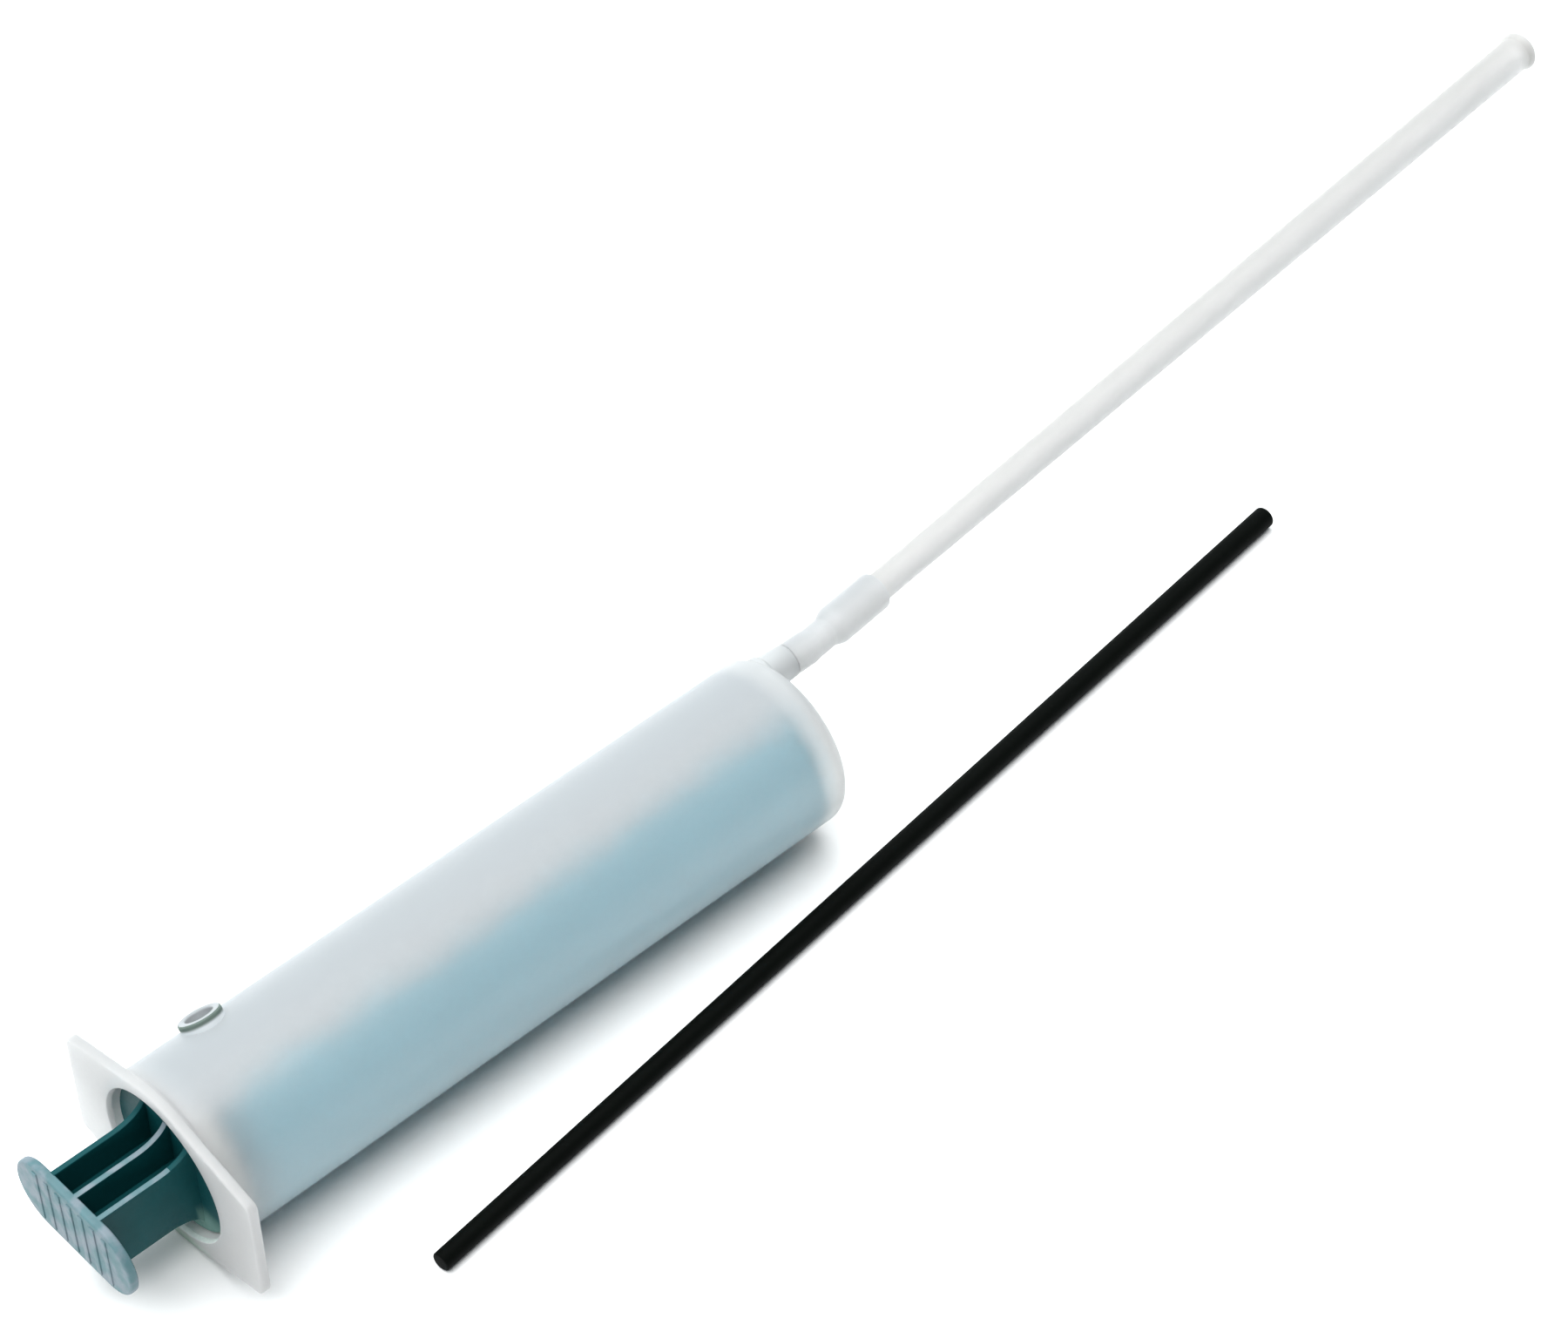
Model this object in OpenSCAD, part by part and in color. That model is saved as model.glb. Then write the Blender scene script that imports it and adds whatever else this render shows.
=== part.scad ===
// Dispensing syringe for mixed resin, with a plunger, a soft coupling, a long tube and a loose push rod.
// The barrel lies along +X with its flange's rear face near the handle end, +Z is up and the table is z = 0.

/* [Show] */
// Piece to draw, or all of them

/* [Barrel] */
// Outer radius of the barrel's tube (mm)
barrel_radius = 15; // [10:0.1:25]
// Thickness of the barrel's wall (mm)
barrel_wall = 1.6; // [0.8:0.1:4]
// Length from the flange's rear face to the end face (mm)
barrel_length = 126.1; // [60:0.5:200]
// Thickness of the closed end (mm)
end_thickness = 2; // [1:0.1:5]
// Rounding of the closed end's outer edge (mm)
end_rounding = 2.4; // [0.2:0.1:4]

/* [Flange] */
// Thickness of the finger flange (mm)
flange_thickness = 1.8; // [1:0.1:5]
// Width of the flange's rim round the barrel, between the wings (mm)
flange_rim = 0.8; // [0.4:0.1:5]
// Distance by which a wing's end edge stands out past the rim (mm)
wing_overhang = 6.4; // [2:0.1:20]
// Half the width of a wing at its end edge (mm)
wing_half_width = 10.2; // [4:0.1:20]
// Rounding of the wings' corners (mm)
wing_rounding = 1.6; // [0.2:0.1:5]

/* [Vent] */
// Distance of the vent from the flange's rear face (mm)
vent_place = 16.1; // [8:0.5:40]
// Direction of the vent around the axis, from +Y towards +Z (degrees)
vent_angle = 52; // [0:1:360]
// Outer radius of the vent's raised ring (mm)
vent_ring_radius = 3.6; // [2:0.1:6]
// Height of the raised ring above the barrel (mm)
vent_ring_height = 1.3; // [0.4:0.1:3]
// Radius of the vent hole (mm)
vent_radius = 2.3; // [0.5:0.1:4]

/* [Nozzle] */
// Distance of the nozzle's axis from the barrel's outer face (mm)
nozzle_inset = 4; // [3.5:0.1:15]
// Direction of the nozzle around the axis, from +Y towards +Z (degrees)
nozzle_angle = 60; // [0:1:360]
// Radius of the collar where it leaves the end face (mm)
collar_root_radius = 3.3; // [2:0.1:6]
// Radius of the collar at its end (mm)
collar_radius = 2.87; // [2:0.01:6]
// Length of the collar (mm)
collar_length = 5.3; // [2:0.1:10]
// Radius of the spigot that the coupling fits on (mm)
spigot_radius = 1.9; // [1:0.05:4]
// Length of the spigot (mm)
spigot_length = 4.3; // [2:0.1:10]
// Radius of the nozzle's passage (mm)
passage_radius = 1.2; // [0.4:0.05:2]

/* [Piston seal] */
// Gap left in front of the seal's cone when the plunger rests as stored (mm)
rest_gap = 2; // [0.5:0.1:60]
// Length of the seal without its cone (mm)
seal_length = 9; // [4:0.1:20]
// Height of the cone on the seal's front (mm)
cone_height = 0.8; // [0.2:0.1:6]
// Depth of the seal's waist between its lips, from the bore (mm)
waist_depth = 0.7; // [0.2:0.1:3]
// Length of each sealing lip (mm)
lip_length = 1.8; // [0.6:0.1:4]

/* [Plunger] */
// Turn of the plunger about its axis as stored (degrees)
plunger_roll = 0; // [-180:1:180]
// Depth of each long plate, edge to edge (mm)
plate_depth = 13; // [8:0.1:24]
// Distance between neighbouring plates (mm)
plate_spacing = 5.6; // [3:0.1:8]
// Thickness of a plate (mm)
plate_thickness = 1; // [0.6:0.1:3]
// Thickness of the web that joins the plates (mm)
web_thickness = 1.4; // [0.6:0.1:3]
// Distance from the thumb pad's inner face to the flange's rear face (mm)
handle_reach = 14.8; // [5:0.1:120]
// Half the length of the thumb pad (mm)
pad_half_length = 13.6; // [8:0.1:30]
// Half the width of the thumb pad (mm)
pad_half_width = 6.8; // [5:0.1:20]
// Thickness of the thumb pad (mm)
pad_thickness = 1.6; // [1:0.1:5]
// Height of the grip ridges on the pad (mm)
ridge_height = 0.35; // [0.1:0.05:1]
// Width of a grip ridge (mm)
ridge_width = 1.1; // [0.4:0.1:3]
// Distance between grip ridges (mm)
ridge_pitch = 2.8; // [1:0.1:6]
// Gap between the plunger's two discs and the bore (mm)
guide_gap = 0.3; // [0.1:0.05:2]
// Distance of the guide disc's rear face from the flange's rear face (mm)
guide_place = 1.9; // [0.5:0.1:20]
// Thickness of the guide disc and the head disc (mm)
disc_thickness = 2; // [1:0.1:5]
// Length of the flares that run from the plates to the guide disc (mm)
flare_length = 6; // [2:0.1:15]
// Distance of the flares' tops from the guide disc's edge (mm)
flare_inset = 3; // [2:0.1:5]
// Radius of the neck that enters the seal (mm)
neck_radius = 4; // [2:0.1:8]
// Length of the neck (mm)
neck_length = 2.6; // [1:0.1:6]
// Radius of the button that holds the seal (mm)
button_radius = 6.5; // [3:0.1:10]
// Thickness of the button (mm)
button_thickness = 3; // [1:0.1:6]

/* [Coupling] */
// Thickness of the coupling's cuff, round the nozzle's spigot (mm)
cuff_wall = 0.95; // [0.5:0.01:3]
// Thickness of the coupling's slim stretch, round the channel (mm)
slim_wall = 1.16; // [0.5:0.01:3]
// Thickness of the coupling's wide stretch, round the tube (mm)
wide_wall = 0.88; // [0.5:0.01:3]
// Length of the coupling before its bend (mm)
coupling_rear = 4.6; // [2:0.1:10]
// Distance from the bend to the step between the two stretches (mm)
step_place = 4.2; // [2:0.1:12]
// Length of the step's cone (mm)
step_length = 1.6; // [0.4:0.1:4]
// Distance from the bend to the coupling's front end (mm)
coupling_front = 16.4; // [10:0.1:40]
// Radius of the coupling's channel between the spigot and the tube (mm)
channel_radius = 1.5; // [0.5:0.05:3]
// Depth of the socket that holds the tube (mm)
socket_depth = 9.4; // [4:0.1:30]
// Turn of the tube away from the barrel's direction, about +Z (degrees)
tube_turn = 6.1; // [-20:0.1:20]

/* [Tube] */
// Outer radius of the tube inside the coupling (mm)
tube_radius = 2.5; // [1.5:0.05:5]
// Growth of the tube's outer radius towards its free end (mm)
tube_growth = 0.8; // [0:0.05:2]
// Length of the tube (mm)
tube_length = 194.2; // [60:0.1:400]
// Thickness of the tube's wall (mm)
tube_wall = 0.8; // [0.4:0.05:2]
// Length of the straight bore at the free end (mm)
mouth_length = 12; // [4:0.1:30]
// Height of the lip round the free end (mm)
lip_height = 0.5; // [0.1:0.05:2]
// Length of the lip round the free end (mm)
lip_width = 1.6; // [0.5:0.1:5]

/* [Push rod] */
// Radius of the rod at its slim end (mm)
rod_radius = 1.65; // [1:0.01:4]
// Growth of the rod's radius towards its thick end (mm)
rod_growth = 0.27; // [0.01:0.01:1]
// Length of the rod (mm)
rod_length = 206.9; // [60:0.1:400]
// Length of the straight stretch at each end (mm)
rod_straight = 15; // [5:0.1:40]
// Place of the rod's slim end along the barrel, from the flange (mm)
rod_along = 24.5; // [-100:0.1:200]
// Place of the rod's slim end beside the barrel's axis (mm)
rod_beside = -33.2; // [-150:0.1:150]
// Turn of the rod away from the barrel's direction, about +Z (degrees)
rod_turn = 6.55; // [-45:0.05:45]

/* [Frame] */
// Distance of the frame's origin from the flange's rear face, along the barrel (mm)
origin_along = 159.957; // [-100:0.01:400]
// Distance of the frame's origin beside the barrel's axis (mm)
origin_beside = -2.085; // [-100:0.01:100]

/* [Fits] */
// Clearance round a part that slides or turns in another (mm)
clearance = 0.05; // [0.01:0.01:0.1]
// Gap between end faces that meet (mm)
face_gap = 0.1; // [0.02:0.01:0.5]
// Overrun of each cutting solid past the face it cuts (mm)
overrun = 0.5; // [0.1:0.1:2]
// Depth by which a joined solid reaches into its neighbour (mm)
root = 1; // [0.2:0.1:3]

/* [Quality] */
// Number of flats on a large circle
$fn = 96; // [48:8:128]
// Number of flats on a small circle
small_fn = 48; // [24:8:96]
// Number of points on each flare's curve
flare_steps = 6; // [3:1:12]
// Number of grip ridges on each side of the pad's middle
ridge_count = 3; // [0:1:6]

/* [Hidden] */
quarter = 90;
bore_radius = barrel_radius - barrel_wall;
flange_radius = barrel_radius + flange_rim;
wing_reach = flange_radius + wing_overhang;
nozzle_offset = barrel_radius - nozzle_inset;
waist_radius = bore_radius - waist_depth;
guide_radius = bore_radius - guide_gap;
cuff_radius = spigot_radius + cuff_wall;
slim_radius = channel_radius + slim_wall;
wide_radius = tube_radius + wide_wall;
tube_end_radius = tube_radius + tube_growth;
rod_end_radius = rod_radius + rod_growth;
axis_height = flange_radius;
inner_end = barrel_length - end_thickness;
cone_tip = inner_end - rest_gap;
seal_front = cone_tip - cone_height;
seal_rear = seal_front - seal_length;
head_rear = seal_rear - face_gap - disc_thickness;
neck_start = seal_rear - face_gap;
button_start = neck_start + neck_length;
collar_end = barrel_length + collar_length;
nozzle_side = nozzle_offset * cos(nozzle_angle);
nozzle_height = axis_height + nozzle_offset * sin(nozzle_angle);
bend_place = collar_end + face_gap + coupling_rear;
socket_start = coupling_front - socket_depth;
tube_start = socket_start + face_gap;
rod_tilt = asin((rod_end_radius - rod_radius) / rod_length);
rod_height = rod_radius + rod_straight * sin(rod_tilt);

// Placing modules
module in_frame() {
    translate([-origin_along, -origin_beside, 0]) children();
}

// Turns +Z into the barrel's direction and lifts it to the barrel's axis
module on_axis() {
    in_frame() translate([0, 0, axis_height]) rotate([0, quarter, 0]) children();
}

// Turns +X towards an angle round the barrel's axis, from +Y towards +Z
module facing(angle) {
    rotate([0, 0, quarter + angle]) children();
}

// Puts the coupling's bend at the origin, with +X along the barrel
module at_bend() {
    in_frame() translate([bend_place, nozzle_side, nozzle_height]) children();
}

// Turns +Z along the tube, from the coupling's bend
module along_tube() {
    at_bend() rotate([0, 0, tube_turn]) rotate([0, quarter, 0]) children();
}

// Barrel
module flange_outline() {
    corner_reach = wing_reach - wing_rounding;
    corner_side = wing_half_width - wing_rounding;
    hull() {
        circle(r = flange_radius);
        for (side = [-1, 1], level = [-1, 1])
            translate([level * corner_side, side * corner_reach]) circle(r = wing_rounding, $fn = small_fn);
    }
}

module barrel_outline() {
    square([barrel_radius - end_rounding, barrel_length]);
    square([barrel_radius, barrel_length - end_rounding]);
    translate([barrel_radius - end_rounding, barrel_length - end_rounding])
        intersection() {
            circle(r = end_rounding, $fn = small_fn);
            square(end_rounding);
        }
}

module barrel() {
    color([0.80, 0.86, 0.89])
        on_axis()
            difference() {
                union() {
                    rotate_extrude() barrel_outline();
                    linear_extrude(flange_thickness) flange_outline();
                    vent_ring();
                    nozzle();
                }
                translate([0, 0, -overrun]) cylinder(r = bore_radius, h = inner_end + overrun);
                vent_hole();
                facing(nozzle_angle) translate([nozzle_offset, 0, inner_end - overrun])
                    cylinder(r = passage_radius, h = collar_end + spigot_length, $fn = small_fn);
            }
}

module vent_ring() {
    facing(vent_angle) translate([barrel_radius - root, 0, vent_place]) rotate([0, quarter, 0])
        cylinder(r = vent_ring_radius, h = vent_ring_height + root, $fn = small_fn);
}

module vent_hole() {
    facing(vent_angle) translate([bore_radius - root, 0, vent_place]) rotate([0, quarter, 0])
        cylinder(r = vent_radius, h = barrel_radius - bore_radius + vent_ring_height + 2 * root, $fn = small_fn);
}

module nozzle() {
    facing(nozzle_angle) translate([nozzle_offset, 0, barrel_length - root]) {
        cylinder(r1 = collar_root_radius, r2 = collar_radius, h = collar_length + root, $fn = small_fn);
        cylinder(r = spigot_radius, h = collar_length + root + spigot_length, $fn = small_fn);
    }
}

// Piston seal
module seal_outline() {
    lip_radius = bore_radius - clearance;
    translate([0, seal_rear]) square([waist_radius, seal_length]);
    for (place = [seal_rear, seal_front - lip_length])
        translate([0, place]) square([lip_radius, lip_length]);
    polygon([[0, cone_tip], [0, seal_front], [lip_radius, seal_front]]);
}

module piston_seal() {
    color([0.30, 0.38, 0.43])
        on_axis()
            difference() {
                rotate_extrude() seal_outline();
                translate([0, 0, seal_rear - overrun]) cylinder(r = neck_radius + clearance, h = neck_length + overrun);
                translate([0, 0, button_start - face_gap])
                    cylinder(r = button_radius + clearance, h = button_thickness + 2 * face_gap);
            }
}

// Plunger rod
module plate_outline() {
    half = plate_depth / 2;
    flare_top = guide_radius - flare_inset;
    flare = [for (step = [0 : flare_steps])
        let (turn = quarter * step / flare_steps)
        [guide_place - flare_length * (1 - sin(turn)), half + (flare_top - half) * (1 - cos(turn))]];
    far_side = [[guide_place + root, flare_top], [guide_place + root, half], [head_rear + root, half]];
    start = [[-handle_reach - root, half]];
    upper = concat(start, flare, far_side);
    lower = [for (spot = [len(upper) - 1 : -1 : 0]) [upper[spot][0], -upper[spot][1]]];
    polygon(concat(upper, lower));
}

module plates() {
    for (place = [-1 : 1])
        translate([place * plate_spacing + plate_thickness / 2, 0, 0]) rotate([0, -quarter, 0])
            linear_extrude(plate_thickness) plate_outline();
    web_width = 2 * plate_spacing + plate_thickness / 2;
    web_length = handle_reach + head_rear + 2 * root;
    translate([-web_width / 2, -web_thickness / 2, -handle_reach - root]) cube([web_width, web_thickness, web_length]);
}

module pad_outline() {
    side = pad_half_length - pad_half_width;
    hull()
        for (end = [-side, side])
            translate([end, 0]) circle(r = pad_half_width);
}

module thumb_pad() {
    translate([0, 0, -handle_reach - pad_thickness]) {
        linear_extrude(pad_thickness) pad_outline();
        translate([0, 0, -ridge_height])
            linear_extrude(ridge_height + ridge_height)
                intersection() {
                    offset(delta = -ridge_width) pad_outline();
                    for (spot = [-ridge_count : ridge_count])
                        translate([spot * ridge_pitch - ridge_width / 2, -pad_half_width])
                            square([ridge_width, 2 * pad_half_width]);
                }
    }
}

module plunger_rod() {
    color([0.45, 0.58, 0.64])
        on_axis() facing(plunger_roll) {
            thumb_pad();
            plates();
            translate([0, 0, guide_place]) cylinder(r = guide_radius, h = disc_thickness);
            translate([0, 0, head_rear]) cylinder(r = guide_radius, h = disc_thickness);
            translate([0, 0, head_rear]) cylinder(r = neck_radius, h = button_start - head_rear + root);
            translate([0, 0, button_start]) cylinder(r = button_radius, h = button_thickness);
        }
}

// Coupling sleeve
module coupling_solid() {
    at_bend() rotate([0, -quarter, 0]) cylinder(r = cuff_radius, h = coupling_rear, $fn = small_fn);
    along_tube() {
        translate([0, 0, -root]) cylinder(r = slim_radius, h = step_place + 2 * root, $fn = small_fn);
        translate([0, 0, step_place]) cylinder(r1 = slim_radius, r2 = wide_radius, h = step_length, $fn = small_fn);
        translate([0, 0, step_place + step_length])
            cylinder(r = wide_radius, h = coupling_front - step_place - step_length, $fn = small_fn);
    }
}

module coupling_sleeve() {
    color([0.85, 0.88, 0.90])
        difference() {
            coupling_solid();
            at_bend() rotate([0, -quarter, 0])
                cylinder(r = spigot_radius + clearance, h = coupling_rear + overrun, $fn = small_fn);
            along_tube() {
                translate([0, 0, -overrun])
                    cylinder(r = channel_radius, h = socket_start + 2 * overrun, $fn = small_fn);
                translate([0, 0, socket_start])
                    cylinder(r = tube_radius + clearance, h = socket_depth + overrun, $fn = small_fn);
            }
        }
}

// Extension tube
module tube_solid() {
    straight = socket_depth - face_gap;
    cylinder(r = tube_radius, h = straight + root, $fn = small_fn);
    translate([0, 0, straight])
        cylinder(r1 = tube_radius, r2 = tube_end_radius, h = tube_length - straight, $fn = small_fn);
    translate([0, 0, tube_length - lip_width])
        cylinder(r1 = tube_end_radius - tube_wall / 2, r2 = tube_end_radius + lip_height, h = lip_width, $fn = small_fn);
}

module extension_tube() {
    mouth_radius = tube_end_radius - tube_wall;
    color([0.93, 0.93, 0.94])
        along_tube() translate([0, 0, tube_start])
            difference() {
                tube_solid();
                translate([0, 0, -overrun]) cylinder(r = tube_radius - tube_wall, h = socket_depth, $fn = small_fn);
                translate([0, 0, socket_depth - overrun - overrun])
                    cylinder(r1 = tube_radius - tube_wall, r2 = mouth_radius,
                             h = tube_length - socket_depth - mouth_length + 2 * overrun, $fn = small_fn);
                translate([0, 0, tube_length - mouth_length])
                    cylinder(r = mouth_radius, h = mouth_length + overrun, $fn = small_fn);
            }
}

// Push rod
module push_rod() {
    color([0.03, 0.03, 0.03])
        in_frame() translate([rod_along, rod_beside, rod_height]) rotate([0, 0, rod_turn])
            rotate([0, quarter - rod_tilt, 0]) {
                cylinder(r = rod_radius, h = rod_straight, $fn = small_fn);
                translate([0, 0, rod_straight])
                    cylinder(r1 = rod_radius, r2 = rod_end_radius, h = rod_length - 2 * rod_straight, $fn = small_fn);
                translate([0, 0, rod_length - rod_straight])
                    cylinder(r = rod_end_radius, h = rod_straight, $fn = small_fn);
            }
}

barrel();
piston_seal();
plunger_rod();
coupling_sleeve();
extension_tube();
push_rod();
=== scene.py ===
"""Looks of a resin syringe: frosted barrel, blue-grey plunger, soft coupling, long tube and loose rod."""
import math

import bmesh
import bpy
from bpy.props import FloatProperty, FloatVectorProperty, IntProperty, PointerProperty
from mathutils import Matrix, Vector


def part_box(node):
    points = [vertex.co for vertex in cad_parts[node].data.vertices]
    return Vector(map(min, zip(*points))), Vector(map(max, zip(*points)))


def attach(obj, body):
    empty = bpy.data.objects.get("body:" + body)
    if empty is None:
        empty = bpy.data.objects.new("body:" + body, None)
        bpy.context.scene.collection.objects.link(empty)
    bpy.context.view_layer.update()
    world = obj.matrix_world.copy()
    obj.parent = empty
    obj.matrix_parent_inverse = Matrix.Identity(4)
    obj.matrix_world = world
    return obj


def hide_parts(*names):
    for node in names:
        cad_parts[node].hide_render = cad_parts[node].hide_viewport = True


bl_info = {
    "name": "Resin Syringe",
    "version": (1, 0, 0),
    "blender": (4, 5, 0),
    "location": "View3D > Sidebar > Syringe",
    "description": "Builds the pieces and finishes of a dispensing syringe round its packed solids",
    "category": "Add Mesh",
}

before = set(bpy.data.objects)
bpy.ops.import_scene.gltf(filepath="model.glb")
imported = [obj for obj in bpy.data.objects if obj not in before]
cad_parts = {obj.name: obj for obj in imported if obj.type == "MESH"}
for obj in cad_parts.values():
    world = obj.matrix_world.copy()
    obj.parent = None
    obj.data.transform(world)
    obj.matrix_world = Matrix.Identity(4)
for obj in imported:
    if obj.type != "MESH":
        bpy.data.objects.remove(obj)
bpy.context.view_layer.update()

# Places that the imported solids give: the barrel's axis, the flange's rear face and its centre
seal_low, seal_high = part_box("piston_seal")
AXIS_SIDE = (seal_low.y + seal_high.y) / 2
AXIS_HEIGHT = (seal_low.z + seal_high.z) / 2
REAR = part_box("barrel")[0].x
CENTRE = Vector((REAR, AXIS_SIDE, AXIS_HEIGHT))

# Points round a turned piece, a thin turned piece and a wing's corner
ROUND, SMALL_ROUND, CORNER_ROUND = 128, 64, 32
SHARP_ANGLE = math.radians(38)

# Longest straight stretch of a turned profile and of the coupling's path, in metres
STRETCH, PATH_STRETCH = 0.004, 0.0003

# Roundings and small steps of moulded edges, in metres, from the crispest to the fullest
SLIVER = 0.0001
RIDGE_EDGE = 0.00012
CRISP = 0.00015
FINE = 0.0002
PLATE_EDGE = 0.00022
COLLAR_EDGE = 0.00025
EDGE = 0.0003
FLANGE_EDGE = 0.00035
SOFT = 0.0004
PAD_EDGE = 0.00045
FULL = 0.0005
FILLET = 0.0006

# How deep a piece roots in what carries it, and how far it or a cutter runs past a face, in metres
ROOT, OVERRUN = 0.001, 0.0005

# Directions in the frame: the light comes from above and from the barrel's far side
ALONG, UP, TOWARDS_ROD = (1, 0, 0), (0, 0, 1), (0, -1, 0)
LIT_SIDE = (0, 0.42, 0.906)

# How far the tube's brightest side leans across it and up
LEAN_ACROSS, LEAN_UP = 0.8, 0.6

# Where a soft piece's painted shade on its lit side starts to fade and has gone, from its axis towards that
# side, in metres
LIT_START, LIT_END = 0.0032, -0.0018

# Sockets of a colour mix
MIX_SHARE, MIX_FIRST, MIX_SECOND, MIX_RESULT = 0, 6, 7, 2

# The photograph's camera, fitted to it: place in metres, directions, lens and sensor in millimetres
CAMERA_PLACE = (-0.354480, -0.352951, 0.530012)
CAMERA_RIGHT = Vector((0.7329504, -0.6801425, -0.0137788))
CAMERA_UP = Vector((0.4972326, 0.5217961, 0.6931728))
LENS, SENSOR = 100, 36
CLIP_NEAR, CLIP_FAR = 0.02, 50

# The overhead light's place, and how far to each side the room's brightness changes
LAMP_PLACE = (-0.22, 0.16, 1.4)
ROOM_SPREAD = 0.7


def linear(hex_value):
    """The linear RGBA of an sRGB hex value."""
    parts = [int(hex_value[spot:spot + 2], 16) / 255 for spot in (0, 2, 4)]
    return tuple(part / 12.92 if part <= 0.04045 else ((part + 0.055) / 1.055) ** 2.4
                 for part in parts) + (1.0,)


def length(name, description, millimetres):
    """A size in the panel, given in millimetres and kept in metres."""
    return FloatProperty(name=name, description=description, default=millimetres / 1000, min=0,
                         precision=5, subtype="DISTANCE", unit="LENGTH")


def angle(name, description, degrees):
    """A turn in the panel, given in degrees and kept in radians."""
    return FloatProperty(name=name, description=description, default=math.radians(degrees),
                         subtype="ANGLE", unit="ROTATION")


def strength(name, description, value):
    """A light's strength in the panel."""
    return FloatProperty(name=name, description=description, default=value, min=0)


def colour(name, description, hex_value):
    """A colour in the panel, given as an sRGB hex value and kept linear."""
    return FloatVectorProperty(name=name, description=description, default=linear(hex_value), size=4,
                               min=0, max=1, subtype="COLOR")


# Sizes and colours that a user may change
class BarrelSettings(bpy.types.PropertyGroup):
    outer_radius: length("Outer radius", "Radius of the barrel's outer face", 15)
    wall: length("Wall", "Thickness of the barrel's wall", 1.6)
    reach: length("Length", "From the flange's rear face to the closed end", 126.1)
    end_thickness: length("End thickness", "Thickness of the closed end", 2)
    end_rounding: length("End rounding", "Rounding of the closed end's outer edge", 2.4)
    flange_thickness: length("Flange thickness", "Thickness of the finger flange", 1.8)
    flange_rim: length("Flange rim", "Width of the flange round the barrel, between the wings", 0.8)
    wing_overhang: length("Wing overhang", "How far each wing stands out past the rim", 6.4)
    wing_half_width: length("Wing half width", "Half the width of a wing at its end edge", 10.6)
    wing_rounding: length("Wing rounding", "Rounding of the wings' corners", 1.6)
    vent_place: length("Vent place", "From the flange's rear face to the vent", 16.1)
    vent_angle: angle("Vent direction", "Direction of the vent round the axis", 52)
    vent_ring: length("Vent ring", "Outer radius of the vent's raised ring", 3.6)
    vent_rise: length("Vent rise", "Height of the raised ring", 1.3)
    vent_hole: length("Vent hole", "Radius of the vent's hole", 2.3)
    nozzle_inset: length("Nozzle inset", "From the barrel's outer face to the nozzle's axis", 4)
    nozzle_angle: angle("Nozzle direction", "Direction of the nozzle round the axis", 60)
    collar_root: length("Collar root", "Radius of the collar at the closed end", 3.3)
    collar_tip: length("Collar tip", "Radius of the collar at its end", 2.87)
    collar_reach: length("Collar length", "Length of the collar", 5.3)
    spigot: length("Spigot", "Radius of the spigot inside the coupling", 1.9)
    spigot_reach: length("Spigot length", "Length of the spigot", 4.3)
    passage: length("Passage", "Radius of the nozzle's passage", 1.2)
    # Painted shade low in the mouth starts this far below the axis
    mouth_shade_below: length("Mouth shade height", "How far below the axis the painted shade starts in the mouth", 6)
    tint: colour("Tint", "Colour of the frosted plastic", "f3f3f2")
    flange_tint: colour("Flange tint", "Colour of the solid plastic of the flange", "c9c8c8")
    # Painted light and shade: shade low on the flange, on the wall's lit side and on the closed end's lit
    # side; grey on the bore's lit side; the bore's cool cast for the plunger seen through the wall; shade low
    # in the mouth and under the vent's top edge
    low_flange_shade_tint: colour("Low flange shade tint", "Painted grey-green shade low on the flange", "aec8b6")
    lit_side_shade_tint: colour("Lit side shade tint", "Painted shade on the frosted wall's lit side", "bdc1c4")
    lit_rim_shade_tint: colour("Lit rim shade tint", "Painted shade on the closed end's lit side", "cdcfd0")
    painted_lit_bore_tint: colour("Lit bore tint", "Painted grey on the bore's lit side, in place of the painted cast", "939ba4")
    painted_cast_tint: colour("Painted cast tint", "Painted cool cast on the bore, for the plunger seen through the frosted wall", "aae4f6")
    low_painted_tint: colour("Low painted tint", "Painted grey-green shade low in the mouth", "d6e2dd")
    vent_shade_tint: colour("Vent shade tint", "Painted shade in a strip under the vent's top edge", "4d5a54")


class SealSettings(bpy.types.PropertyGroup):
    lip_gap: length("Lip gap", "Gap between a lip and the bore", 0.05)
    waist_depth: length("Waist depth", "Depth of the waist between the lips", 0.7)
    reach: length("Length", "Length of the seal without its cone", 9)
    cone: length("Cone", "Height of the cone on the seal's front", 0.8)
    lip: length("Lip", "Length of each lip", 1.8)
    button_gap: length("Button gap", "Gap round the button and its neck", 0.05)
    tint: colour("Tint", "Colour of the soft seal", "7393a2")


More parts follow.
